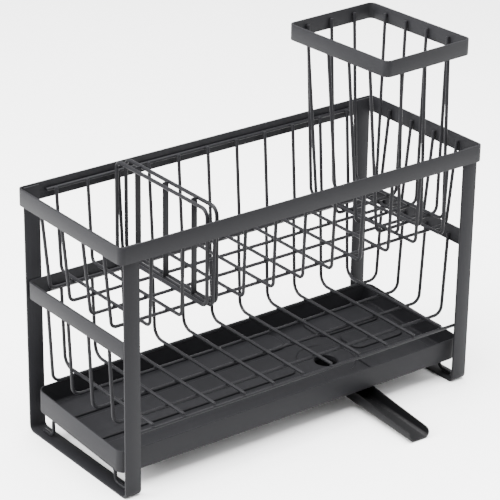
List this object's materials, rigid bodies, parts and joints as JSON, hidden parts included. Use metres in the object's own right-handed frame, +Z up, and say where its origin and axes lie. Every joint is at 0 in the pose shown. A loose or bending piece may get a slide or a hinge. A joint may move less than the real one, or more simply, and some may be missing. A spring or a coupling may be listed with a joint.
{
  "type": "dish drying rack",
  "caption": "Two-tier dish drying rack of flat bar and wire, with a sloping slide-out drip tray, swivel drain spout, lift-off plate divider and tall cutlery basket.",
  "frame": {"origin": "on the ground, under the middle of the whole rack's box, its forward spout included", "axes": "+X along the rack's length to the right seen from the front, +Y to the back, +Z up; the front is -Y"},
  "size_m": [0.5, 0.2815, 0.42],
  "materials": {
    "coated_strip": "matte charcoal powder coat on flat steel bar",
    "coated_wire": "satin charcoal powder coat on round steel wire",
    "coated_tray": "matte charcoal powder coat on pressed steel sheet",
    "black_plastic": "moulded black plastic with a fine satin grain"
  },
  "bodies": {
    "rack_frame": {"end_frame_left": "coated_strip", "end_frame_right": "coated_strip", "top_rim": "coated_strip", "middle_band": "coated_strip", "top_rail_back": "coated_wire", "top_rail_front": "coated_wire", "middle_rail_back": "coated_wire", "front_rail": "coated_wire", "upper_cross_wire_01": "coated_wire", "upper_cross_wire_02": "coated_wire", "upper_cross_wire_03": "coated_wire", "upper_cross_wire_04": "coated_wire", "upper_cross_wire_05": "coated_wire", "upper_cross_wire_06": "coated_wire", "upper_cross_wire_07": "coated_wire", "upper_cross_wire_08": "coated_wire", "upper_cross_wire_09": "coated_wire", "upper_cross_wire_10": "coated_wire", "upper_cross_wire_11": "coated_wire", "upper_long_wire_1": "coated_wire", "upper_long_wire_2": "coated_wire", "upper_long_wire_3": "coated_wire", "upper_long_wire_4": "coated_wire", "lower_cross_wire_01": "coated_wire", "lower_cross_wire_02": "coated_wire", "lower_cross_wire_03": "coated_wire", "lower_cross_wire_04": "coated_wire", "lower_cross_wire_05": "coated_wire", "lower_cross_wire_06": "coated_wire", "lower_cross_wire_07": "coated_wire", "lower_cross_wire_08": "coated_wire", "lower_cross_wire_09": "coated_wire", "lower_cross_wire_10": "coated_wire", "lower_cross_wire_11": "coated_wire", "lower_long_wire_1": "coated_wire", "lower_long_wire_2": "coated_wire", "lower_long_wire_3": "coated_wire", "lower_long_wire_4": "coated_wire", "tray_rest_left": "coated_wire", "tray_rest_right": "coated_wire"},
    "tray": {"drip_tray": "coated_tray"},
    "spout": {"drain_spout": "black_plastic"},
    "divider": {"divider_hoop_left": "coated_wire", "divider_hoop_right": "coated_wire", "divider_spacer_1": "coated_wire", "divider_spacer_2": "coated_wire", "divider_spacer_3": "coated_wire"},
    "cutlery_basket": {"cutlery_rim": "coated_strip", "cutlery_across_wire_1": "coated_wire", "cutlery_across_wire_2": "coated_wire", "cutlery_across_wire_3": "coated_wire", "cutlery_across_wire_4": "coated_wire", "cutlery_along_wire_1": "coated_wire", "cutlery_along_wire_2": "coated_wire", "cutlery_along_wire_3": "coated_wire"}
  },
  "joints": [
    {"name": "tray_slide", "type": "slide", "parent": "rack_frame", "child": "tray", "axis": [1, 0, 0], "range_m": [-0.28, 0]},
    {"name": "spout_swivel", "type": "hinge", "parent": "tray", "child": "spout", "pos_m": [0.104, 0.03462, 0.02745], "axis": [0, -0.0436, 0.999], "range_deg": [-180, 45]},
    {"name": "divider_lift", "type": "slide", "parent": "rack_frame", "child": "divider", "axis": [0, 0, 1], "range_m": [0, 0.12]},
    {"name": "cutlery_basket_lift", "type": "slide", "parent": "rack_frame", "child": "cutlery_basket", "axis": [0, 0, 1], "range_m": [0, 0.15]}
  ]
}
